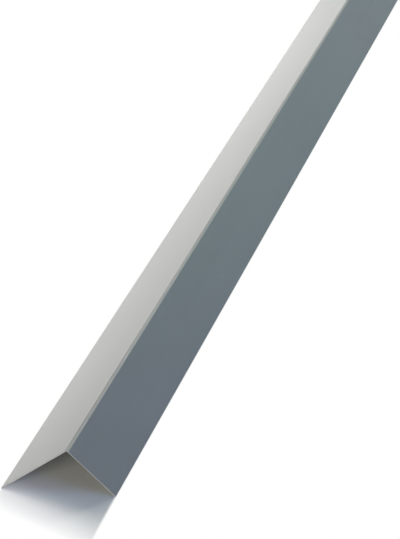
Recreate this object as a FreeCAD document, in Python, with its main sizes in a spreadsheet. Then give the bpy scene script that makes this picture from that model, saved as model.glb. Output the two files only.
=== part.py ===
import FreeCAD, Part
import math
import os
import Sketcher

# Folded angle section
# A strip of sheet metal is folded once along its length into two unequal legs.
# It lies ridge up, like a tent, on the lower corners of its two long cut edges.
# X runs along the section, Y across it with the long leg at +Y, and Z up.
# The origin is on the floor, under the middle of the section.

# Driving dimensions, in millimetres and degrees.
# Each leg is measured on the outside, from its cut edge to the point where the
# outer faces of the legs would meet if the bend were sharp.
SIZES = {
    "long_leg": 120.0,
    "short_leg": 80.0,
    "section_length": 2000.0,
    "sheet_thickness": 1.0,
    "inside_radius": 2.0,
    "fold_angle": 95.0,
    "edge_break": 0.2,
}

# How a sketch numbers the points of a curve, and its own two axes.
START, END, CENTRE = range(1, 4)
FLOOR_AXIS, UPRIGHT_AXIS = range(-1, -3, -1)

# Slack allowed when edges are matched by place, and in the volume check.
SAME_PLACE = 1e-5
VOLUME_TOLERANCE = 1e-6


def make_sheet(doc):
    """Hold each driving dimension in a cell with an alias of its own."""
    sheet = doc.addObject("Spreadsheet::Sheet", "Sizes")
    for row, (alias, value) in enumerate(SIZES.items(), start=1):
        sheet.set(f"A{row}", alias.replace("_", " "))
        sheet.set(f"B{row}", str(value))
        sheet.setAlias(f"B{row}", alias)
    doc.recompute()
    return sheet


def leg_slopes(sheet):
    """Angles between each leg and the floor, in radians.

    The lower corner of each cut edge is on the floor. Those two corners and the
    inner sharp corner are a triangle, with the fold angle at its top.
    """
    fold = math.radians(sheet.fold_angle)
    setback = sheet.sheet_thickness / math.tan(fold / 2)
    long_side = sheet.long_leg - setback
    short_side = sheet.short_leg - setback
    long_slope = math.atan2(
        short_side * math.sin(fold), long_side - short_side * math.cos(fold)
    )
    return long_slope, math.pi - fold - long_slope


def point_from(origin, along, along_distance, out, out_distance):
    """The point that lies some way along a leg and some way out from it."""
    return origin + along * along_distance + out * out_distance


def draw_section(body, sheet):
    """Sketch the folded strip's end view and constrain it by its real sizes."""
    plane = next(f for f in body.Origin.OriginFeatures if f.Role == "YZ_Plane")
    sketch = body.newObject("Sketcher::SketchObject", "Section")
    sketch.AttachmentSupport = (plane, [""])
    sketch.MapMode = "FlatFace"

    # Directions down each leg from the ridge, and out of each leg's outer face.
    long_slope, short_slope = leg_slopes(sheet)
    down_long = FreeCAD.Vector(math.cos(long_slope), -math.sin(long_slope))
    out_long = FreeCAD.Vector(math.sin(long_slope), math.cos(long_slope))
    down_short = FreeCAD.Vector(-math.cos(short_slope), -math.sin(short_slope))
    out_short = FreeCAD.Vector(-math.sin(short_slope), math.cos(short_slope))

    # The outer sharp corner stands over the floor by the long leg's rise.
    thickness = sheet.sheet_thickness
    rise = sheet.long_leg * math.sin(long_slope) + thickness * out_long.y
    spread = sheet.long_leg * down_long.x + sheet.short_leg * down_short.x
    corner = FreeCAD.Vector(-spread / 2, rise)

    outer_radius = sheet.inside_radius + thickness
    to_bend = outer_radius / math.tan(math.radians(sheet.fold_angle) / 2)
    bend_centre = point_from(corner, down_long, to_bend, out_long, -outer_radius)

    def arc(radius):
        circle = Part.Circle(bend_centre, FreeCAD.Vector(0, 0, 1), radius)
        from_long = math.pi / 2 - long_slope
        to_short = math.pi / 2 + short_slope
        return sketch.addGeometry(Part.ArcOfCircle(circle, from_long, to_short))

    def line(first, second):
        return sketch.addGeometry(Part.LineSegment(first, second))

    # Points on the long leg and on the short leg: the bend's tangent and the
    # cut edge, each on the outer face and on the inner face.
    long_bend = point_from(corner, down_long, to_bend, out_long, 0)
    long_bend_in = point_from(long_bend, down_long, 0, out_long, -thickness)
    long_tip = point_from(corner, down_long, sheet.long_leg, out_long, 0)
    long_foot = point_from(long_tip, down_long, 0, out_long, -thickness)
    short_bend = point_from(corner, down_short, to_bend, out_short, 0)
    short_bend_in = point_from(short_bend, down_short, 0, out_short, -thickness)
    short_tip = point_from(corner, down_short, sheet.short_leg, out_short, 0)
    short_foot = point_from(short_tip, down_short, 0, out_short, -thickness)

    outer_long = line(long_tip, long_bend)
    outer_bend = arc(outer_radius)
    outer_short = line(short_bend, short_tip)
    short_cut = line(short_tip, short_foot)
    inner_short = line(short_foot, short_bend_in)
    inner_bend = arc(sheet.inside_radius)
    inner_long = line(long_bend_in, long_foot)
    long_cut = line(long_foot, long_tip)
    sharp_corner = sketch.addGeometry(Part.Point(corner), True)
    middle = sketch.addGeometry(Part.Point((long_tip + short_tip) / 2), True)

    def hold(*terms):
        return sketch.addConstraint(Sketcher.Constraint(*terms))

    def drive(name, alias_formula, *terms):
        number = hold(*terms)
        sketch.renameConstraint(number, name)
        sketch.setExpression(f"Constraints.{name}", alias_formula)

    # One closed outline: flat legs run smoothly into the bend, and each long
    # edge is cut square to its leg.
    hold("Tangent", outer_long, END, outer_bend, START)
    hold("Tangent", outer_bend, END, outer_short, START)
    hold("Tangent", inner_short, END, inner_bend, END)
    hold("Tangent", inner_bend, START, inner_long, START)
    hold("Coincident", outer_short, END, short_cut, START)
    hold("Coincident", short_cut, END, inner_short, START)
    hold("Coincident", inner_long, END, long_cut, START)
    hold("Coincident", long_cut, END, outer_long, START)
    hold("Coincident", outer_bend, CENTRE, inner_bend, CENTRE)
    hold("Perpendicular", long_cut, outer_long)
    hold("Perpendicular", short_cut, outer_short)
    hold("Parallel", inner_long, outer_long)
    hold("Parallel", inner_short, outer_short)

    # Both feet on the floor, and the section centred across.
    hold("PointOnObject", inner_long, END, FLOOR_AXIS)
    hold("PointOnObject", inner_short, START, FLOOR_AXIS)
    hold("Symmetric", outer_long, START, outer_short, END, middle, START)
    hold("PointOnObject", middle, START, UPRIGHT_AXIS)

    # Real sizes, read from the sheet.
    hold("PointOnObject", sharp_corner, START, outer_long)
    hold("PointOnObject", sharp_corner, START, outer_short)
    drive("long_leg", "Sizes.long_leg", "Distance", sharp_corner, START,
          outer_long, START, sheet.long_leg)
    drive("short_leg", "Sizes.short_leg", "Distance", sharp_corner, START,
          outer_short, END, sheet.short_leg)
    drive("thickness", "Sizes.sheet_thickness", "Distance", long_cut, thickness)
    drive("inside_radius", "Sizes.inside_radius", "Radius", inner_bend,
          sheet.inside_radius)
    drive("fold_angle", "Sizes.fold_angle * 1 deg", "Angle", outer_short, START,
          outer_long, END, math.radians(sheet.fold_angle))
    return sketch, [outer_long, outer_bend, outer_short]


def outer_rim(pad, sketch, outer_curves):
    """Names of the edges round the outer face: along both tips and both ends."""
    half = pad.Length.Value / 2
    places = []
    for tip in (sketch.Geometry[outer_curves[0]].StartPoint,
                sketch.Geometry[outer_curves[-1]].EndPoint):
        places.append(FreeCAD.Vector(0, tip.x, tip.y))
    for number in outer_curves:
        curve = sketch.Geometry[number]
        halfway = curve.value((curve.FirstParameter + curve.LastParameter) / 2)
        for end in (-half, half):
            places.append(FreeCAD.Vector(end, halfway.x, halfway.y))

    names = []
    for number, edge in enumerate(pad.Shape.Edges, start=1):
        halfway = edge.valueAt((edge.FirstParameter + edge.LastParameter) / 2)
        if any(halfway.distanceToPoint(place) < SAME_PLACE for place in places):
            names.append(f"Edge{number}")
    assert len(names) == len(places), "the outer rim isn't whole"
    return names


def make_angle(doc, sheet):
    """The whole section: one folded strip, with its sheared rim eased."""
    body = doc.addObject("PartDesign::Body", "AngleSection")
    body.Label = "angle_section"
    sketch, outer_curves = draw_section(body, sheet)

    strip = body.newObject("PartDesign::Pad", "FoldedStrip")
    strip.Profile = sketch
    strip.SideType = "Symmetric"
    strip.setExpression("Length", "Sizes.section_length")
    doc.recompute()

    # Shears round the side of the sheet that they enter, here the outer face,
    # and leave the other side square, so the feet on the floor stay sharp.
    easing = body.newObject("PartDesign::Fillet", "EasedRim")
    easing.Base = (strip, outer_rim(strip, sketch, outer_curves))
    easing.setExpression("Radius", "Sizes.edge_break")
    body.Tip = easing
    doc.recompute()
    return body, sketch, strip


def check_strip(sheet, sketch, strip):
    """The sketch has no freedom left, and the strip holds the folded volume."""
    assert sketch.solve() == 0 and sketch.FullyConstrained, "the section is loose"
    fold = math.radians(sheet.fold_angle)
    thickness = sheet.sheet_thickness
    outer_radius = sheet.inside_radius + thickness
    flats = (sheet.long_leg + sheet.short_leg
             - 2 * outer_radius / math.tan(fold / 2))
    bend = (math.pi - fold) * (sheet.inside_radius + thickness / 2)
    expected = (flats + bend) * thickness * sheet.section_length
    assert abs(strip.Shape.Volume / expected - 1) < VOLUME_TOLERANCE
    print(f"flat strip {flats + bend:.2f} mm wide, {expected / 1000:.1f} cm3")


def check_document(doc, nodes):
    """Every object recomputed cleanly, and every sub-part is one good solid."""
    for item in doc.Objects:
        faults = {"Invalid", "Error"} & set(item.State)
        assert not faults, f"{item.Label}: {item.State}"
    for node in nodes:
        shape = node.Shape
        assert not shape.isNull() and shape.isValid(), f"{node.Label} isn't valid"
        assert len(shape.Solids) == 1, f"{node.Label} isn't one solid"


def main():
    doc = FreeCAD.newDocument("angle")
    sheet = make_sheet(doc)
    body, sketch, strip = make_angle(doc, sheet)
    check_strip(sheet, sketch, strip)
    check_document(doc, [body])

    os.makedirs("parts", exist_ok=True)
    body.Shape.exportStep(os.path.join("parts", f"{body.Label}.step"))
    box = body.Shape.BoundBox
    print(f"{body.Label}: X {box.XMin:.3f} to {box.XMax:.3f}, "
          f"Y {box.YMin:.3f} to {box.YMax:.3f}, Z {box.ZMin:.3f} to {box.ZMax:.3f}")


main()
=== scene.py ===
# %% [markdown]
# # A folded metal angle section
#
# The real thing is one strip of thin coated sheet, folded once along its length in a press
# brake. It has a long leg, a short leg, a small rounded bend between them, and bare cut
# edges where the shears went through the coating. It lies on the floor like a tent.
#
# The lesson goes the way the workshop does: first where the camera stands, then the
# finishes, then the flat blank and its fold, and last the floor and the lamps. The packed
# CAD model comes first of all, because it fixes every size.

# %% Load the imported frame
import math

import bmesh
import bpy
from mathutils import Matrix, Vector


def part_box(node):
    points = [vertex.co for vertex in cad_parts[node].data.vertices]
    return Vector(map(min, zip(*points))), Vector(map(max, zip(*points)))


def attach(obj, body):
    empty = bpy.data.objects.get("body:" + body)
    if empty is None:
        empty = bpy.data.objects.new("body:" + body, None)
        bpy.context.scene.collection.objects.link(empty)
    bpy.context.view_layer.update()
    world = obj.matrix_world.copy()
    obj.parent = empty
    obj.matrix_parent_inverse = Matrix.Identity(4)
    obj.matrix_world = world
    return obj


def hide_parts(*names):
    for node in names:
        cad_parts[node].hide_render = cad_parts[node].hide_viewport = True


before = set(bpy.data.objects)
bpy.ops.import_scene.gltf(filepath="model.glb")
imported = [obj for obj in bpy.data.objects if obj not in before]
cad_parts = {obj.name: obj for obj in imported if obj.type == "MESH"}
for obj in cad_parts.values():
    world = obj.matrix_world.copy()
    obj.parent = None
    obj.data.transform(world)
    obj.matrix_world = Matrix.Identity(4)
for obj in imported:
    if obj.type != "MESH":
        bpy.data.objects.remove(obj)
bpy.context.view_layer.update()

section_low, section_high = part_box("angle_section")
section_length = section_high.x - section_low.x
print(f"the CAD section is {section_length:.3f} m long and {section_high.z:.4f} m high")

# %% [markdown]
# ## Where the camera stands
#
# The picture was taken from above the near end, looking along the section with a long lens,
# so its long edges nearly run together. Such a view could be set by eye, but the two legs
# and the length are known, so the place, the aim and the lens were worked out from where
# the long edges and the near corners lie in the picture. Three directions at right angles
# make the camera's rotation: right, up, and back, away from what it sees.

# %% Camera
CAMERA_PLACE = Vector((-2.4103, -0.8984, 1.2078))
LOOKS_ALONG = Vector((0.78584, 0.36681, -0.49790))
CAMERA_UP = Vector((0.52895, 0.01847, 0.84845))
PICTURE_HEIGHT = 539
FOCAL_PIXELS = 1736.5
VIEW_REACH = 200

camera = bpy.data.objects.new("camera", bpy.data.cameras.new("camera"))
bpy.context.scene.collection.objects.link(camera)
bpy.context.scene.camera = camera
back = -LOOKS_ALONG.normalized()
right = CAMERA_UP.cross(back).normalized()
turn = Matrix((right, back.cross(right), back)).transposed()
camera.matrix_world = Matrix.Translation(CAMERA_PLACE) @ turn.to_4x4()
camera.data.lens = FOCAL_PIXELS * camera.data.sensor_width / PICTURE_HEIGHT
camera.data.clip_end = VIEW_REACH
print(f"lens {camera.data.lens:.1f} mm, {CAMERA_PLACE.z:.2f} m over the floor")

# %% [markdown]
# ## A few helpers for node trees
#
# Both a shape and a finish are trees of small nodes here. Writing every node out would hide
# the idea, so a few helpers do the wiring: they put a value or a wire into a socket, add a
# node, do sums, turn one range into another, join three numbers and open an empty group.
# They serve Geometry Nodes and shader nodes alike.


# %% Helpers for node trees
def put(tree, socket, value):
    """Wire an output socket into this input, or write a plain value on it."""
    if isinstance(value, bpy.types.NodeSocket):
        tree.links.new(value, socket)
    else:
        socket.default_value = value


def add(tree, kind, inputs=None, **settings):
    """Add a node with these settings, and feed the inputs that are named."""
    node = tree.nodes.new(kind)
    for name, value in settings.items():
        setattr(node, name, value)
    for name, value in (inputs or {}).items():
        put(tree, node.inputs[name], value)
    return node


def sums(tree, operation, *values):
    """One step of arithmetic on numbers or sockets."""
    node = tree.nodes.new("ShaderNodeMath")
    node.operation = operation
    for socket, value in zip(node.inputs, values):
        put(tree, socket, value)
    return node.outputs[0]


def ramp(tree, value, start, end, low=0.0, high=1.0, smooth=False):
    """A share that goes from low to high while value goes from start to end."""
    node = add(
        tree,
        "ShaderNodeMapRange",
        {"Value": value, "From Min": start, "From Max": end, "To Min": low, "To Max": high},
        interpolation_type="SMOOTHSTEP" if smooth else "LINEAR",
    )
    return node.outputs["Result"]


def triple(tree, x, y, z):
    """Three numbers or sockets as one vector."""
    return add(tree, "ShaderNodeCombineXYZ", {"X": x, "Y": y, "Z": z}).outputs[0]


def open_group(name, kind, inputs, outputs):
    """An empty node group with named sockets, and its two end nodes."""
    group = bpy.data.node_groups.new(name, kind)
    for label, socket_type, value in inputs:
        socket = group.interface.new_socket(label, in_out="INPUT", socket_type=socket_type)
        if value is not None:
            socket.default_value = value
    for label, socket_type in outputs:
        group.interface.new_socket(label, in_out="OUTPUT", socket_type=socket_type)
    return group, group.nodes.new("NodeGroupInput"), group.nodes.new("NodeGroupOutput")


FLOAT, VECTOR, WHOLE = "NodeSocketFloat", "NodeSocketVector", "NodeSocketInt"
print("helpers ready: put, add, sums, ramp, triple, open_group")

# %% [markdown]
# ## Grain from the rolling mill
#
# Sheet comes off the mill with a very fine grain along the strip, and it still shows through
# a thin coating as faint long streaks. Noise that is squeezed across the strip and drawn out
# along it gives such streaks. It is a shader group, because the coated faces and the bare
# cut edges both have it, at different strengths. It gives a value from 0 to 1, which each
# material then uses for its colour and for the height of its bumps.


# %% Shader group for rolled grain
BROAD_TO_FINE = 0.13


def make_rolled_grain():
    """Streaks along X, half from a fine stretched noise and half from a broad one."""
    group, given, made = open_group(
        "rolled grain",
        "ShaderNodeTree",
        [("Vector", VECTOR, None), ("Streaks Per Metre", FLOAT, 900.0), ("Stretch", FLOAT, 60.0)],
        [("Streaks", FLOAT)],
    )
    parts = add(group, "ShaderNodeSeparateXYZ", {"Vector": given.outputs["Vector"]})
    along = sums(group, "DIVIDE", parts.outputs["X"], given.outputs["Stretch"])
    drawn = triple(group, along, parts.outputs["Y"], parts.outputs["Z"])
    fine = add(
        group,
        "ShaderNodeTexNoise",
        {"Vector": drawn, "Scale": given.outputs["Streaks Per Metre"], "Detail": 3.0},
    )
    broad_scale = sums(group, "MULTIPLY", given.outputs["Streaks Per Metre"], BROAD_TO_FINE)
    broad = add(
        group, "ShaderNodeTexNoise", {"Vector": drawn, "Scale": broad_scale, "Detail": 1.0}
    )
    both = sums(group, "ADD", fine.outputs["Fac"], broad.outputs["Fac"])
    put(group, made.inputs["Streaks"], sums(group, "MULTIPLY", both, 0.5))
    return group


rolled_grain = make_rolled_grain()
print("made the shader group:", rolled_grain.name)

# %% [markdown]
# ## Marks of handling
#
# A two-metre strip is stacked, slid and carried, so its satin has soft cloudy patches where
# hands and other strips rubbed it, and a few hair-thin scuffs, most of them along it. Clouds
# are plain noise. The scuffs are the thin borders of a cell pattern that is drawn out along
# the strip, kept only where a second noise is high, so that they come in short broken
# pieces. The pattern's way across counts width and height together, so it runs over both
# legs. Clouds and scuffs are masks, and the materials decide how strong each is.


# %% Shader group for handling marks
CLOUD_EDGES = (0.3, 0.7)
SCUFF_LINES_PER_METRE = 90.0
SCUFF_SLANT = 0.04
RISE_WEIGHT = 1.7
SCUFF_TO_CELL = 0.02
PATCHES_PER_CLOUD = 3.0
PATCH_EDGES = (0.58, 0.70)


def make_handling():
    """Soft clouds and short scuffs, each a mask from 0 to 1."""
    group, given, made = open_group(
        "handling marks",
        "ShaderNodeTree",
        [("Vector", VECTOR, None), ("Cloud Size", FLOAT, 0.12), ("Scuff Length", FLOAT, 0.06)],
        [("Clouds", FLOAT), ("Scuffs", FLOAT)],
    )
    cloud_scale = sums(group, "DIVIDE", 1.0, given.outputs["Cloud Size"])
    cloud = add(
        group,
        "ShaderNodeTexNoise",
        {"Vector": given.outputs["Vector"], "Scale": cloud_scale, "Detail": 4.0},
    )
    put(group, made.inputs["Clouds"], ramp(group, cloud.outputs["Fac"], *CLOUD_EDGES, smooth=True))

    parts = add(group, "ShaderNodeSeparateXYZ", {"Vector": given.outputs["Vector"]}).outputs
    across = sums(group, "ADD", parts["Y"], sums(group, "MULTIPLY", parts["Z"], RISE_WEIGHT))
    across = sums(group, "MULTIPLY_ADD", parts["X"], SCUFF_SLANT, across)
    drawn = triple(
        group,
        sums(group, "DIVIDE", parts["X"], given.outputs["Scuff Length"]),
        sums(group, "MULTIPLY", across, SCUFF_LINES_PER_METRE),
        0.0,
    )
    cells = add(
        group, "ShaderNodeTexVoronoi", {"Vector": drawn, "Scale": 1.0}, feature="DISTANCE_TO_EDGE"
    )
    line = ramp(group, cells.outputs["Distance"], 0.0, SCUFF_TO_CELL, 1.0, 0.0)
    patch_scale = sums(group, "DIVIDE", PATCHES_PER_CLOUD, given.outputs["Cloud Size"])
    patch = add(
        group,
        "ShaderNodeTexNoise",
        {"Vector": given.outputs["Vector"], "Scale": patch_scale, "Detail": 2.0},
    )
    kept = ramp(group, patch.outputs["Fac"], *PATCH_EDGES)
    put(group, made.inputs["Scuffs"], sums(group, "MULTIPLY", line, kept))
    return group


handling = make_handling()
print("made the shader group:", handling.name)

# %% [markdown]
# ## The coated faces
#
# The coating is a satin silver-grey paint baked on the sheet. It is not a mirror and not
# chalk: looked at steeply it is a plain grey, and looked at along the sheet it takes up the
# bright room, which is why the far end of each leg is paler. That is what the Principled
# shader's own reflection does, so that paleness is not painted into the colour. The grain
# and the clouds only move the colour a little way between two near greys, and the scuffs
# are a shade paler. Only along the bend, below, are a shade and a highlight painted in.

# %% Helpers and colours of the coating
COATING_GREY = (0.350, 0.357, 0.357, 1.0)
COATING_PALE = (0.410, 0.417, 0.417, 1.0)
SCUFF_PALE = (0.500, 0.505, 0.500, 1.0)
CLOUD_SHARE, GRAIN_SHARE, SCUFF_SHARE = 0.35, 0.65, 0.35


def object_vector(tree):
    """The place on the piece itself, in metres."""
    return add(tree, "ShaderNodeTexCoord").outputs["Object"]


def use_group(tree, group, inputs):
    """Place a shader group in a material."""
    node = add(tree, "ShaderNodeGroup", node_tree=group)
    for name, value in inputs.items():
        put(tree, node.inputs[name], value)
    return node


def mixed(tree, share, first, second):
    """A colour between two colours."""
    node = add(tree, "ShaderNodeMix", data_type="RGBA")
    put(tree, node.inputs[0], share)
    put(tree, node.inputs[6], first)
    put(tree, node.inputs[7], second)
    return node.outputs[2]


def new_material(name):
    """An empty material and its Principled shader."""
    material = bpy.data.materials.new(name)
    material.use_nodes = True
    return material, material.node_tree, material.node_tree.nodes["Principled BSDF"]


coated_face, tree, shader = new_material("coated_face")
place = object_vector(tree)
grain = use_group(tree, rolled_grain, {"Vector": place}).outputs["Streaks"]
marks = use_group(tree, handling, {"Vector": place})
clouds, scuffs = marks.outputs["Clouds"], marks.outputs["Scuffs"]
grain_part = sums(tree, "MULTIPLY", grain, GRAIN_SHARE)
paleness = sums(tree, "MULTIPLY_ADD", clouds, CLOUD_SHARE, grain_part)
unworn_coat = mixed(tree, paleness, COATING_GREY, COATING_PALE)
scuff_part = sums(tree, "MULTIPLY", scuffs, SCUFF_SHARE)
plain_coat = mixed(tree, scuff_part, unworn_coat, SCUFF_PALE)
print("started the material:", coated_face.name)

# %% [markdown]
# ### Two lines along the bend
#
# Along the bend the base colour holds painted light and shade. Next to the long leg it is
# painted dull and darker, a painted shade as of a dark reflection, and from there to the
# short leg it is painted pale, a painted highlight, so the ridge shows a thin dark line
# beside a thin light one. Both are bands of one number, the share of the way round the
# bend's axis: 0 where the long leg ends and 1 where the short leg starts. The angle from
# the axis gives it at any spot, so no texture has to be drawn by hand.
# The axis and the long leg's slope follow from the sizes that the fold below starts from.

# %% Lines along the bend
BEND_CENTRE = (0.0, -0.02605, 0.06047)
LONG_LEG_SLOPE = math.radians(32.02)
BEND_TURN = math.radians(85)
# The dark line is a painted shade and the light line a painted highlight, both in the base colour.
SHADE_LINE_RISE, SHADE_LINE_FALL = (-0.42, 0.00), (0.25, 0.50)
BEND_PAINTED_SHADE = (0.244, 0.243, 0.238, 1.0)
HIGHLIGHT_LINE_RISE, HIGHLIGHT_LINE_FALL = (0.32, 0.56), (1.0, 1.3)
BEND_PAINTED_HIGHLIGHT = (0.620, 0.590, 0.535, 1.0)

from_centre = add(tree, "ShaderNodeVectorMath", {0: place, 1: BEND_CENTRE}, operation="SUBTRACT")
from_centre = add(tree, "ShaderNodeSeparateXYZ", {"Vector": from_centre.outputs[0]}).outputs
lean = sums(tree, "ARCTAN2", from_centre["Y"], from_centre["Z"])
round_bend = sums(tree, "DIVIDE", sums(tree, "SUBTRACT", LONG_LEG_SLOPE, lean), BEND_TURN)


def band(rise, fall):
    """A mask of 1 between two soft sides, each given as a start and an end."""
    up = ramp(tree, round_bend, *rise, smooth=True)
    return sums(tree, "MULTIPLY", up, ramp(tree, round_bend, *fall, 1.0, 0.0, smooth=True))


# Painted shade and painted highlight along the bend, as two bands of colour.
painted_shade_line = band(SHADE_LINE_RISE, SHADE_LINE_FALL)
painted_highlight_line = band(HIGHLIGHT_LINE_RISE, HIGHLIGHT_LINE_FALL)
coat_with_painted_shade = mixed(tree, painted_shade_line, plain_coat, BEND_PAINTED_SHADE)
put(tree, shader.inputs["Base Color"], mixed(tree, painted_highlight_line, coat_with_painted_shade, BEND_PAINTED_HIGHLIGHT))
print("two lines along the bend, at shares", SHADE_LINE_RISE, SHADE_LINE_FALL, HIGHLIGHT_LINE_RISE, HIGHLIGHT_LINE_FALL)

# %% [markdown]
# ### Gloss and skin
#
# Satin paint is partly rough. Clouds and scuffs make it a little rougher still and the
# band of the painted highlight on the bend smoother, so the marks show best where the light
# glances off. A fine bump of noise and grain gives the paint its skin. How strongly the
# paint mirrors is one number for the whole coating, below that of plain gloss paint.

# %% Gloss and skin
COATING_ROUGHNESS = 0.30
COATING_GLOSS = 0.22
CLOUD_ROUGHER = 0.05
SCUFF_ROUGHER = 0.12
BEND_SMOOTHER = -0.10
PAINT_SKIN_PER_METRE = 700.0
SKIN_HEIGHT = 0.00001
GRAIN_TO_SKIN = 0.5

clear_of_clouds = COATING_ROUGHNESS - CLOUD_ROUGHER / 2
clouded = sums(tree, "MULTIPLY_ADD", clouds, CLOUD_ROUGHER, clear_of_clouds)
scratched = sums(tree, "MULTIPLY_ADD", scuffs, SCUFF_ROUGHER, clouded)
smoothed = sums(tree, "MULTIPLY_ADD", painted_highlight_line, BEND_SMOOTHER, scratched)
put(tree, shader.inputs["Roughness"], smoothed)

skin = add(
    tree,
    "ShaderNodeTexNoise",
    {"Vector": place, "Scale": PAINT_SKIN_PER_METRE, "Detail": 2.0},
)
height = sums(tree, "MULTIPLY_ADD", grain, GRAIN_TO_SKIN, skin.outputs["Fac"])
bump = add(tree, "ShaderNodeBump", {"Height": height, "Distance": SKIN_HEIGHT, "Strength": 1.0})
put(tree, shader.inputs["Normal"], bump.outputs["Normal"])
shader.inputs["Specular IOR Level"].default_value = COATING_GLOSS
print(f"finished the material: {coated_face.name}, roughness about {COATING_ROUGHNESS}")

# %% [markdown]
# ## The bare cut edges
#
# The strip was coated first and cut afterwards, so the thin cut faces show bare steel,
# shinier than the coating, with a fine and nearly even grain from the shears and small dull
# clouds. They are one millimetre wide, but they catch the light in a close look. The two
# shader groups serve here again, with values of their own.

# %% Cut edge material
BARE_STEEL = (0.42, 0.42, 0.41, 1.0)
DULL_STEEL = (0.30, 0.295, 0.28, 1.0)
SHEAR_GRAIN_PER_METRE = 5200.0
SHEAR_STRETCH = 1.5
SHEAR_HEIGHT = 0.00001
EDGE_CLOUD_SIZE = 0.02
EDGE_CLOUD_SHARE, EDGE_GRAIN_SHARE = 0.6, 0.4
EDGE_ROUGHNESS = (0.32, 0.5)

cut_edge, tree, shader = new_material("cut_edge")
place = object_vector(tree)
grain = use_group(
    tree,
    rolled_grain,
    {
        "Vector": place,
        "Streaks Per Metre": SHEAR_GRAIN_PER_METRE,
        "Stretch": SHEAR_STRETCH,
    },
).outputs["Streaks"]
marks = use_group(tree, handling, {"Vector": place, "Cloud Size": EDGE_CLOUD_SIZE})
clouds = marks.outputs["Clouds"]
grain_part = sums(tree, "MULTIPLY", grain, EDGE_GRAIN_SHARE)
dulled = sums(tree, "MULTIPLY_ADD", clouds, EDGE_CLOUD_SHARE, grain_part)
put(tree, shader.inputs["Base Color"], mixed(tree, dulled, BARE_STEEL, DULL_STEEL))
put(tree, shader.inputs["Roughness"], ramp(tree, dulled, 0.0, 1.0, *EDGE_ROUGHNESS))
bump = add(tree, "ShaderNodeBump", {"Height": grain, "Distance": SHEAR_HEIGHT, "Strength": 1.0})
put(tree, shader.inputs["Normal"], bump.outputs["Normal"])
shader.inputs["Metallic"].default_value = 1.0
print("made the material:", cut_edge.name)

# %% [markdown]
# ## The blank and its fold
#
# The section has no parts to put together: a flat blank is bent. A profile could be swept
# along a line, but folding a blank by rule is nearer to the real work, and it gives columns
# of faces on each leg, so that the sheet can also be very slightly wavy, as thin sheet is.
# The blank is a box of unit width and unit thickness. Each point knows how far across it is
# and how far through the thickness, and three shares then say where it goes: how much of the
# long leg, of the bend, and of the short leg lies behind it.

# %% Sizes of the section
LONG_LEG = 0.120
SHORT_LEG = 0.080
SHEET = 0.001
INSIDE_RADIUS = 0.002
FOLD_ANGLE = math.radians(95)
EASED_RIM = 0.0002

LEG_COLUMNS = 14
BEND_COLUMNS = 14
STATIONS = 101
WAVE_HEIGHT = 0.00012
WAVE_LENGTH = 0.30
WAVE_SEED = 7.0
LEG_TO_LEG = 0.6
STILL_FROM = 0.9

# %% Inputs of the folding tree
folding, given, made = open_group(
    "fold a blank",
    "GeometryNodeTree",
    [
        ("Long Leg", FLOAT, LONG_LEG),
        ("Short Leg", FLOAT, SHORT_LEG),
        ("Sheet", FLOAT, SHEET),
        ("Inside Radius", FLOAT, INSIDE_RADIUS),
        ("Fold Angle", FLOAT, FOLD_ANGLE),
        ("Length", FLOAT, 1.0),
        ("Leg Columns", WHOLE, LEG_COLUMNS),
        ("Bend Columns", WHOLE, BEND_COLUMNS),
        ("Stations", WHOLE, STATIONS),
        ("Wave Height", FLOAT, WAVE_HEIGHT),
        ("Wave Length", FLOAT, WAVE_LENGTH),
        ("Seed", FLOAT, WAVE_SEED),
        ("Face Finish", "NodeSocketMaterial", None),
        ("Edge Finish", "NodeSocketMaterial", None),
    ],
    [("Geometry", "NodeSocketGeometry")],
)
given = given.outputs
print("inputs:", ", ".join(item.name for item in folding.interface.items_tree))

# %% [markdown]
# ### How steeply each leg stands
#
# Both legs stand on their inner corners. Those two corners and the inner sharp corner of
# the fold are a triangle with two known sides and the fold angle between them, so the slope
# of the long leg follows from its sides, and the short leg has what is left of half a turn.

# %% Slopes of the legs
half_fold = sums(folding, "MULTIPLY", given["Fold Angle"], 0.5)
tan_half = sums(folding, "TANGENT", half_fold)
setback = sums(folding, "DIVIDE", given["Sheet"], tan_half)
long_side = sums(folding, "SUBTRACT", given["Long Leg"], setback)
short_side = sums(folding, "SUBTRACT", given["Short Leg"], setback)
fold_cos = sums(folding, "COSINE", given["Fold Angle"])
fold_sin = sums(folding, "SINE", given["Fold Angle"])
rise = sums(folding, "MULTIPLY", short_side, fold_sin)
reach = sums(folding, "SUBTRACT", long_side, sums(folding, "MULTIPLY", short_side, fold_cos))
long_slope = sums(folding, "ARCTAN2", rise, reach)
opening = sums(folding, "SUBTRACT", math.pi, given["Fold Angle"])
short_slope = sums(folding, "SUBTRACT", opening, long_slope)

outer_radius = sums(folding, "ADD", given["Inside Radius"], given["Sheet"])
to_bend = sums(folding, "DIVIDE", outer_radius, tan_half)
flat_long = sums(folding, "SUBTRACT", given["Long Leg"], to_bend)
flat_short = sums(folding, "SUBTRACT", given["Short Leg"], to_bend)

# %% [markdown]
# ### The flat blank
#
# A box with many columns across becomes the blank. Its columns are counted from the long
# leg's cut edge. Each leg has the same number, and squaring the share crowds them towards
# the bend, where smooth shading needs short faces next to the curve. Before anything moves,
# the tree notes which faces are cut edges and which edges are the outer face's rim, because
# that is easy to tell on a flat box.

# %% Blank, columns and shares
RIM_FROM = 0.999
TOP_FROM = 0.499

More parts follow.
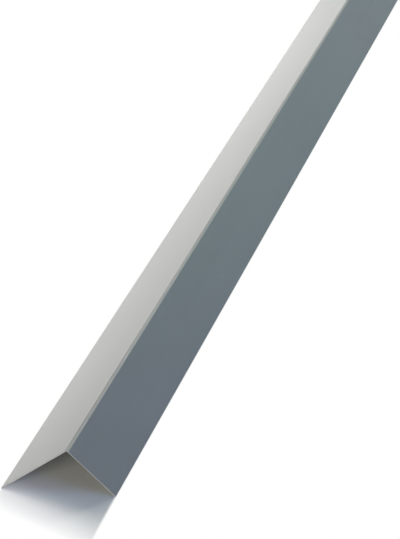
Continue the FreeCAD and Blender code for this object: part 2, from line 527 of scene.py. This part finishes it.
both_legs = sums(folding, "MULTIPLY", given["Leg Columns"], 2.0)
columns = sums(folding, "ADD", both_legs, given["Bend Columns"])
across_points = sums(folding, "ADD", columns, 1.0)
blank = add(
    folding,
    "GeometryNodeMeshCube",
    {
        "Size": triple(folding, given["Length"], 1.0, 1.0),
        "Vertices X": given["Stations"],
        "Vertices Y": across_points,
        "Vertices Z": 2,
    },
)
spot = add(
    folding,
    "ShaderNodeSeparateXYZ",
    {"Vector": add(folding, "GeometryNodeInputPosition").outputs[0]},
).outputs
blank_normal = add(
    folding,
    "ShaderNodeSeparateXYZ",
    {"Vector": add(folding, "GeometryNodeInputNormal").outputs[0]},
).outputs
flatness = sums(folding, "ABSOLUTE", blank_normal["Z"])
is_cut = sums(folding, "LESS_THAN", flatness, 0.5)

noted = add(folding, "GeometryNodeCaptureAttribute", domain="FACE")
noted.capture_items.new("FLOAT", "cut face")
put(folding, noted.inputs["Geometry"], blank.outputs["Mesh"])
put(folding, noted.inputs["cut face"], is_cut)

half_length = sums(folding, "MULTIPLY", given["Length"], 0.5)
to_end = sums(folding, "DIVIDE", sums(folding, "ABSOLUTE", spot["X"]), half_length)
to_side = sums(folding, "MULTIPLY", sums(folding, "ABSOLUTE", spot["Y"]), 2.0)
outermost = sums(folding, "MAXIMUM", to_end, to_side)
on_border = sums(folding, "GREATER_THAN", outermost, RIM_FROM)
on_top = sums(folding, "GREATER_THAN", spot["Z"], TOP_FROM)
rimmed = add(
    folding,
    "GeometryNodeStoreNamedAttribute",
    {
        "Geometry": noted.outputs["Geometry"],
        "Name": "bevel_weight_edge",
        "Value": sums(folding, "MULTIPLY", on_border, on_top),
    },
    data_type="FLOAT",
    domain="EDGE",
)

# %% [markdown]
# ### The fold
#
# The outward direction turns steadily through the bend and stays still along the legs. A
# point goes to the bend's centre, then out along that direction by its radius, then down
# one leg or the other by its distance from the bend. The centre's height puts both inner
# corners on the floor, and its place across centres the two outer edges.

# %% Fold the blank
column = sums(folding, "MULTIPLY", sums(folding, "ADD", spot["Y"], 0.5), columns)
short_starts = sums(folding, "ADD", given["Leg Columns"], given["Bend Columns"])
long_share = ramp(folding, column, 0.0, given["Leg Columns"], 1.0, 0.0)
bend_share = ramp(folding, column, given["Leg Columns"], short_starts)
short_share = ramp(folding, column, short_starts, columns)
down_long = sums(folding, "MULTIPLY", flat_long, sums(folding, "POWER", long_share, 2.0))
down_short = sums(folding, "MULTIPLY", flat_short, sums(folding, "POWER", short_share, 2.0))

tilt = sums(
    folding, "SUBTRACT", long_slope, sums(folding, "MULTIPLY", bend_share, opening)
)
through = sums(folding, "ADD", spot["Z"], 0.5)
radius = sums(folding, "MULTIPLY_ADD", through, given["Sheet"], given["Inside Radius"])


def leg_parts(slope):
    """Sine and cosine of a leg's slope."""
    return sums(folding, "SINE", slope), sums(folding, "COSINE", slope)


long_sin, long_cos = leg_parts(long_slope)
short_sin, short_cos = leg_parts(short_slope)
centre_z = sums(
    folding,
    "SUBTRACT",
    sums(folding, "MULTIPLY", flat_long, long_sin),
    sums(folding, "MULTIPLY", given["Inside Radius"], long_cos),
)
lean = sums(folding, "MULTIPLY", outer_radius, sums(folding, "SUBTRACT", long_sin, short_sin))
spread = sums(
    folding,
    "SUBTRACT",
    sums(folding, "MULTIPLY", flat_long, long_cos),
    sums(folding, "MULTIPLY", flat_short, short_cos),
)
centre_y = sums(folding, "MULTIPLY", sums(folding, "ADD", lean, spread), -0.5)

# %% [markdown]
# ### A very slight waviness
#
# Thin sheet is never quite flat. Its waves are at most about a tenth of a millimetre high
# and some thirty centimetres long, and they die out towards the bend and the cut edges,
# which stay straight. The noise is read from the place on the flat blank, so both sides of
# the sheet move together and the thickness stays true. The third number of that place is
# the seed.

# %% Waves and the folded place
leg_share = sums(folding, "SUBTRACT", long_share, short_share)
wave_spot = triple(
    folding,
    sums(folding, "DIVIDE", spot["X"], given["Wave Length"]),
    sums(folding, "MULTIPLY", leg_share, LEG_TO_LEG),
    given["Seed"],
)
wave = add(
    folding, "ShaderNodeTexNoise", {"Vector": wave_spot, "Scale": 1.0, "Detail": 0.0}
).outputs["Fac"]
from_bend = sums(folding, "POWER", sums(folding, "ABSOLUTE", leg_share), 2.0)
belly = sums(folding, "SINE", sums(folding, "MULTIPLY", from_bend, math.pi))
end_fade = ramp(folding, to_end, STILL_FROM, 1.0, 1.0, 0.0, smooth=True)
signed_wave = sums(folding, "MULTIPLY", sums(folding, "SUBTRACT", wave, 0.5), 2.0)
wave_out = sums(folding, "MULTIPLY", signed_wave, sums(folding, "MULTIPLY", belly, end_fade))
out = sums(folding, "MULTIPLY_ADD", wave_out, given["Wave Height"], radius)

tilt_sin, tilt_cos = leg_parts(tilt)
folded_y = sums(folding, "MULTIPLY_ADD", out, tilt_sin, centre_y)
folded_y = sums(folding, "MULTIPLY_ADD", down_long, long_cos, folded_y)
folded_y = sums(
    folding, "SUBTRACT", folded_y, sums(folding, "MULTIPLY", down_short, short_cos)
)
folded_z = sums(folding, "MULTIPLY_ADD", out, tilt_cos, centre_z)
folded_z = sums(folding, "SUBTRACT", folded_z, sums(folding, "MULTIPLY", down_long, long_sin))
folded_z = sums(
    folding, "SUBTRACT", folded_z, sums(folding, "MULTIPLY", down_short, short_sin)
)
folded = add(
    folding,
    "GeometryNodeSetPosition",
    {
        "Geometry": rimmed.outputs["Geometry"],
        "Position": triple(folding, spot["X"], folded_y, folded_z),
    },
)

# %% [markdown]
# ### Faces outwards, and the finishes
#
# The columns are counted from +Y, while the blank's own points run from -Y, so the fold also
# mirrors the blank, and a mirrored mesh is inside out. Flip Faces turns every face out
# again. Then all faces get the coating, and those noted as cut edges get bare steel.

# %% Finishes and the end of the tree
turned_out = add(folding, "GeometryNodeFlipFaces", {"Mesh": folded.outputs["Geometry"]})
coated = add(
    folding,
    "GeometryNodeSetMaterial",
    {"Geometry": turned_out.outputs["Mesh"], "Material": given["Face Finish"]},
)
edged = add(
    folding,
    "GeometryNodeSetMaterial",
    {
        "Geometry": coated.outputs["Geometry"],
        "Selection": noted.outputs["cut face"],
        "Material": given["Edge Finish"],
    },
)
whole = add(
    folding, "GeometryNodeRealizeInstances", {"Geometry": edged.outputs["Geometry"]}
)
put(folding, made.inputs["Geometry"], whole.outputs["Geometry"])
print(f"the folding tree has {len(folding.nodes)} nodes")

# %% [markdown]
# ## From tree to plain mesh
#
# The tree works as a modifier on an empty mesh. Its inputs are set by their identifiers,
# which stay fixed when a name is changed. A Bevel modifier after it eases the rim by the
# weights that the tree wrote, as shears roll over the side that they enter. The result is
# then copied into a plain mesh, shaded smooth but with every turn over twenty degrees sharp.
# Its signed volume shows that it is the right way out: an inside-out mesh measures below zero.


# %% Run the tree and keep the mesh
def set_inputs(modifier, values):
    """Give each named input of a Geometry Nodes modifier its value."""
    for item in modifier.node_group.interface.items_tree:
        if item.in_out == "INPUT" and item.name in values:
            modifier[item.identifier] = values[item.name]


def plain_mesh(maker, name):
    """The evaluated shape of an object, as a mesh of its own."""
    graph = bpy.context.evaluated_depsgraph_get()
    mesh = bpy.data.meshes.new_from_object(
        maker.evaluated_get(graph), preserve_all_data_layers=True, depsgraph=graph
    )
    mesh.name = name
    for number in reversed(range(len(mesh.materials))):
        if mesh.materials[number] is None:
            mesh.materials.pop(index=number)
    return mesh


SHARP_TURN = math.radians(20)
EASING_STEPS = 2

maker = bpy.data.objects.new("blank", bpy.data.meshes.new("blank"))
bpy.context.scene.collection.objects.link(maker)
folding_step = maker.modifiers.new("fold", "NODES")
folding_step.node_group = folding
set_inputs(
    folding_step,
    {"Length": section_length, "Face Finish": coated_face, "Edge Finish": cut_edge},
)
easing = maker.modifiers.new("eased rim", "BEVEL")
easing.limit_method = "WEIGHT"
easing.width = EASED_RIM
easing.segments = EASING_STEPS
easing.use_clamp_overlap = False

folded_mesh = plain_mesh(maker, "folded_sheet")
bpy.data.objects.remove(maker)
folded_mesh.shade_smooth()
folded_mesh.set_sharp_from_angle(angle=SHARP_TURN)
folded_sheet = bpy.data.objects.new("folded_sheet", folded_mesh)
bpy.context.scene.collection.objects.link(folded_sheet)

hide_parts("angle_section")
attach(folded_sheet, "root")
print(
    f"folded sheet: {len(folded_mesh.polygons)} faces, materials",
    [m.name for m in folded_mesh.materials],
)

# %% Check that the faces point outwards
shell = bmesh.new()
shell.from_mesh(folded_mesh)
sheet_volume = shell.calc_volume(signed=True)
shell.free()
assert sheet_volume > 0, "the faces point inwards"
print(f"it holds {sheet_volume * 1e6:.1f} cubic centimetres of metal")

# %% [markdown]
# ## The world
#
# The section lies on a plain white floor with no edge in sight. The lamps do all the
# lighting, and the world is only what is seen behind: plain white, for the camera and for
# every reflection. To all other rays it is black, so it adds no light.

# %% World
scene = bpy.context.scene
scene.view_settings.view_transform = "Standard"
world = bpy.data.worlds.new("studio")
scene.world = world
world.use_nodes = True
tree = world.node_tree
path = add(tree, "ShaderNodeLightPath").outputs
seen = sums(tree, "MAXIMUM", path["Is Camera Ray"], path["Is Glossy Ray"])
seen = sums(tree, "MAXIMUM", seen, path["Is Transmission Ray"])
white = tree.nodes["Background"]
white.inputs["Color"].default_value = (1.0, 1.0, 1.0, 1.0)
put(tree, white.inputs["Strength"], seen)
print("world: white to the camera and in reflections, black as a light")

# %% [markdown]
# ## The lamps
#
# The main light is a soft box high on the left, with a lower box under it and a weak, broad
# light above, and they make the long leg the pale one. Two light strips close beside the
# long leg make its outer edge a little paler than its ridge side. The short leg faces away
# from all of these, and gets a dim cool light from the right, with a weak box beyond it
# that makes its far end a little paler. A small lamp beyond the far end is mirrored best by
# the bend, which brightens the ridge's light line. One dim warm box in front shines into
# the near end. Each was first lit alone, to see which tones it gives, and only then were
# the levels set together.


# %% A helper for lamps
def lamp(name, kind, place, aim, colour, energy, **settings):
    """A lamp at a place, turned to a point. The camera doesn't see it."""
    light = bpy.data.lights.new(name, kind)
    for setting, value in settings.items():
        setattr(light, setting, value)
    light.color = colour
    light.energy = energy
    shown = bpy.data.objects.new(name, light)
    shown.location = place
    shown.rotation_euler = (Vector(place) - Vector(aim)).to_track_quat("Z", "Y").to_euler()
    shown.visible_camera = False
    scene.collection.objects.link(shown)
    return shown


def toward(azimuth, elevation):
    """A unit step in a direction given in degrees, from +X and from the floor."""
    around, up = math.radians(azimuth), math.radians(elevation)
    flat = math.cos(up)
    return Vector((flat * math.cos(around), flat * math.sin(around), math.sin(up)))


# %% Far lamps, as suns
SUN_LEVEL = math.pi
SUNS = (
    ("ridge", -29, 32, 8, (0.143, 0.147, 0.130)),
    ("right", -105, 30, 28, (0.085, 0.121, 0.227)),
    ("upper", 90, 60, 28, (0.033, 0.057, 0.068)),
)
for name, azimuth, elevation, width, colour in SUNS:
    where = toward(azimuth, elevation)
    lamp(name, "SUN", where, (0, 0, 0), colour, SUN_LEVEL, angle=math.radians(width))
print("suns:", ", ".join(sun[0] for sun in SUNS))

# %% Round soft boxes
BOX_SHARE = 0.55
BOX_WATTS = 25.0
BOXES = (
    ("main", (0.2, 1.2, 1.6), (0.2, 0.0, 0.03), (0.179, 0.179, 0.162)),
    ("low", (0.2, 0.55, 0.45), (0.2, 0.0, 0.03), (0.126, 0.131, 0.126)),
    ("near", (-2.4, 0.2, 0.7), (-1.0, 0.0, 0.03), (0.102, 0.097, 0.079)),
    ("far_right", (1.4, -1.2, 0.8), (0.4, 0.0, 0.03), (0.011, 0.030, 0.010)),
)
for name, place, aim, colour in BOXES:
    away = (Vector(place) - Vector(aim)).length
    watts = BOX_WATTS * away * away
    lamp(name, "AREA", place, aim, colour, watts, shape="DISK", size=BOX_SHARE * away)
print("soft boxes:", ", ".join(box[0] for box in BOXES))

# %% Light strips beside the long leg
STRIP_WATTS_PER_METRE = 4.0
STRIP_WIDTH = 0.12
STRIP_AIM = (0.02, 0.03)
STRIPS = (
    ("side_strip", -1.0, 1.4, 0.30, 0.15, (0.293, 0.264, 0.258)),
    ("end_strip", -1.3, -0.7, 0.30, 0.25, (0.102, 0.100, 0.103)),
)
for name, start, end, across, height, colour in STRIPS:
    middle = (start + end) / 2
    watts = STRIP_WATTS_PER_METRE * (end - start)
    strip = lamp(
        name,
        "AREA",
        (middle, across, height),
        (middle, *STRIP_AIM),
        colour,
        watts,
        shape="RECTANGLE",
        size=end - start,
        size_y=STRIP_WIDTH,
    )
    strip.visible_glossy = False
print("strips:", ", ".join(strip[0] for strip in STRIPS))

# %% [markdown]
# ## The floor
#
# In the picture only the shadow under and before the near end shows that there is a floor.
# All else is plain white. So the floor is matt and takes the shadow, and turns into even
# white within a hand's breadth past each end and a millimetre or two past each side. Past
# an end the share of white is squared, so that it comes in slowly at first, and it is
# slanted to come sooner on the long leg's side. The camera sees the matt floor as white
# paper, but to bounced light it is a pale grey, so it doesn't throw too much light under
# the section. Reflections see even white everywhere, as they do in the world.

# %% Floor
FLOOR_REACH = 60.0
FLOOR_PALE = (0.80, 0.80, 0.80, 1.0)
FLOOR_SEEN = (1.0, 1.0, 1.0, 1.0)
SIDE_FADE = (-0.003, 0.0015)
END_FADE = (-0.005, 0.062)
END_SLANT = 0.4
END_EASE = 2.0

floor_mesh = bpy.data.meshes.new("floor")
signs = ((-1, -1), (1, -1), (1, 1), (-1, 1))
corners = [(FLOOR_REACH * x, FLOOR_REACH * y, 0.0) for x, y in signs]
floor_mesh.from_pydata(corners, [], [(0, 1, 2, 3)])
floor = bpy.data.objects.new("floor", floor_mesh)
scene.collection.objects.link(floor)

floor_material, tree, shader = new_material("floor")
tree.nodes.remove(shader)
spot = add(tree, "ShaderNodeSeparateXYZ", {"Vector": object_vector(tree)}).outputs
past_end = sums(tree, "SUBTRACT", sums(tree, "ABSOLUTE", spot["X"]), section_high.x)
past_side = sums(tree, "SUBTRACT", sums(tree, "ABSOLUTE", spot["Y"]), section_high.y)
slanted = sums(tree, "MULTIPLY_ADD", spot["Y"], END_SLANT, past_end)
white_end = sums(tree, "POWER", ramp(tree, slanted, *END_FADE), END_EASE)
white_side = ramp(tree, past_side, *SIDE_FADE, smooth=True)
even_white = sums(tree, "MAXIMUM", white_end, white_side)

path = add(tree, "ShaderNodeLightPath").outputs
mirrored = sums(tree, "MAXIMUM", path["Is Glossy Ray"], path["Is Transmission Ray"])
glows = sums(tree, "MULTIPLY_ADD", path["Is Camera Ray"], even_white, mirrored)
floor_colour = mixed(tree, path["Is Camera Ray"], FLOOR_PALE, FLOOR_SEEN)
matt = add(tree, "ShaderNodeBsdfDiffuse", {"Color": floor_colour})
glow = add(tree, "ShaderNodeEmission", {"Color": (1.0, 1.0, 1.0, 1.0), "Strength": 1.0})
either = add(tree, "ShaderNodeMixShader", {0: glows})
put(tree, either.inputs[1], matt.outputs[0])
put(tree, either.inputs[2], glow.outputs[0])
put(tree, tree.nodes["Material Output"].inputs["Surface"], either.outputs[0])
floor_mesh.materials.append(floor_material)
print(f"floor {2 * FLOOR_REACH:.0f} m square")
